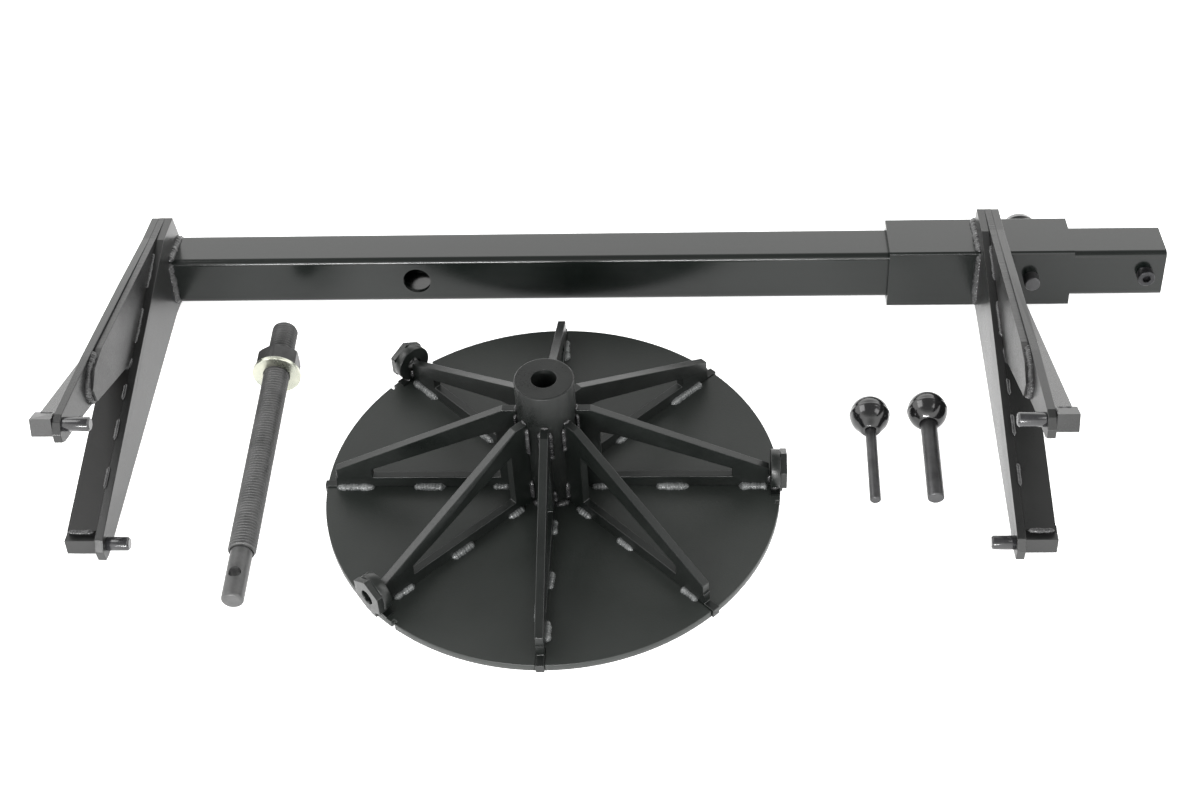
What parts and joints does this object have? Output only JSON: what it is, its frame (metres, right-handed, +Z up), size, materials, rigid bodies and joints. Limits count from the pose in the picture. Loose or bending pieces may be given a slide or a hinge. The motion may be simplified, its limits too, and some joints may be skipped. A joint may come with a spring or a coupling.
{
  "type": "fork puller kit",
  "caption": "Crossbeam puller laid out in parts: square beam with fixed and sliding forked arms, ribbed pressure disc with hub, threaded rod with nut and washer, and ball-knob pins.",
  "frame": {"origin": "on the floor, under the centre of the laid-out kit", "axes": "+X along the beam towards its free end, +Y from the arms' tips towards the beam, +Z up from the floor"},
  "size_m": [0.8188, 0.4426, 0.1202],
  "materials": {
    "black_paint": "satin black powder coat",
    "pin_steel": "gloss black paint over steel",
    "shaft_steel": "turned, dull grey",
    "knob": "gloss",
    "black_oxide": "black oxide",
    "rod_steel": "grey phosphate",
    "zinc": "zinc plated, satin"
  },
  "bodies": {
    "beam": {"beam_tube": "black_paint", "left_lower_web": "black_paint", "left_gusset": "black_paint", "left_upper_web": "black_paint", "left_lower_angle": "black_paint", "left_upper_angle": "black_paint", "left_lower_block": "black_paint", "left_upper_block": "black_paint", "left_lower_pin": "pin_steel", "left_upper_pin": "pin_steel", "left_weld": "black_paint"},
    "sleeve": {"slide_sleeve": "black_paint", "right_lower_web": "black_paint", "right_gusset": "black_paint", "right_upper_web": "black_paint", "right_lower_angle": "black_paint", "right_upper_angle": "black_paint", "right_lower_block": "black_paint", "right_upper_block": "black_paint", "right_lower_pin": "pin_steel", "right_upper_pin": "pin_steel", "right_weld": "black_paint"},
    "lock_pin": {"lock_pin_shaft": "shaft_steel", "lock_pin_ball": "knob"},
    "stop_screw": {"stop_screw": "black_oxide"},
    "disc": {"disc_plate": "black_paint", "disc_hub": "black_paint", "rib_000": "black_paint", "rib_045": "black_paint", "rib_090": "black_paint", "rib_135": "black_paint", "rib_180": "black_paint", "rib_225": "black_paint", "rib_270": "black_paint", "rib_315": "black_paint", "lug_collars": "black_paint", "lug_hexes": "black_paint", "lug_feet": "black_paint"},
    "rod": {"threaded_rod": "rod_steel"},
    "washer": {"rod_washer": "zinc"},
    "nut": {"rod_nut": "rod_steel"},
    "thin_pin": {"thin_pin_shaft": "shaft_steel", "thin_pin_ball": "knob"},
    "thick_pin": {"thick_pin_shaft": "shaft_steel", "thick_pin_ball": "knob"}
  },
  "joints": [
    {"name": "sleeve_slide", "type": "slide", "parent": "beam", "child": "sleeve", "axis": [1, 0, 0], "range_m": [-0.03, 0.02]},
    {"name": "lock_pin_pull", "type": "slide", "parent": "sleeve", "child": "lock_pin", "axis": [0, 0.9934, -0.1149], "range_m": [0, 0.065]},
    {"name": "stop_screw_turn", "type": "hinge", "parent": "beam", "child": "stop_screw", "pos_m": [0.39455, 0.14415, 0.03168], "axis": [0, 0.9934, -0.1149], "continuous": true},
    {"name": "disc_lift", "type": "slide", "parent": "beam", "child": "disc", "axis": [0, 0, 1], "range_m": [0, 0.15]},
    {"name": "rod_lift", "type": "slide", "parent": "beam", "child": "rod", "axis": [0, 0, 1], "range_m": [0, 0.15]},
    {"name": "washer_slide", "type": "slide", "parent": "rod", "child": "washer", "axis": [0.0075, -0.9988, -0.0484], "range_m": [-0.028, 0.16]},
    {"name": "nut_spin", "type": "hinge", "parent": "washer", "child": "nut", "pos_m": [-0.27996, 0.05928, 0.01901], "axis": [0.0075, -0.9988, -0.0484], "range_deg": [-4040, 23050]},
    {"name": "thin_pin_lift", "type": "slide", "parent": "beam", "child": "thin_pin", "axis": [0, 0, 1], "range_m": [0, 0.1]},
    {"name": "thick_pin_lift", "type": "slide", "parent": "beam", "child": "thick_pin", "axis": [0, 0, 1], "range_m": [0, 0.1]}
  ],
  "couplings": [
    {"joint": "nut_spin", "follows": "washer_slide", "rad_per_m": 2513.3}
  ]
}
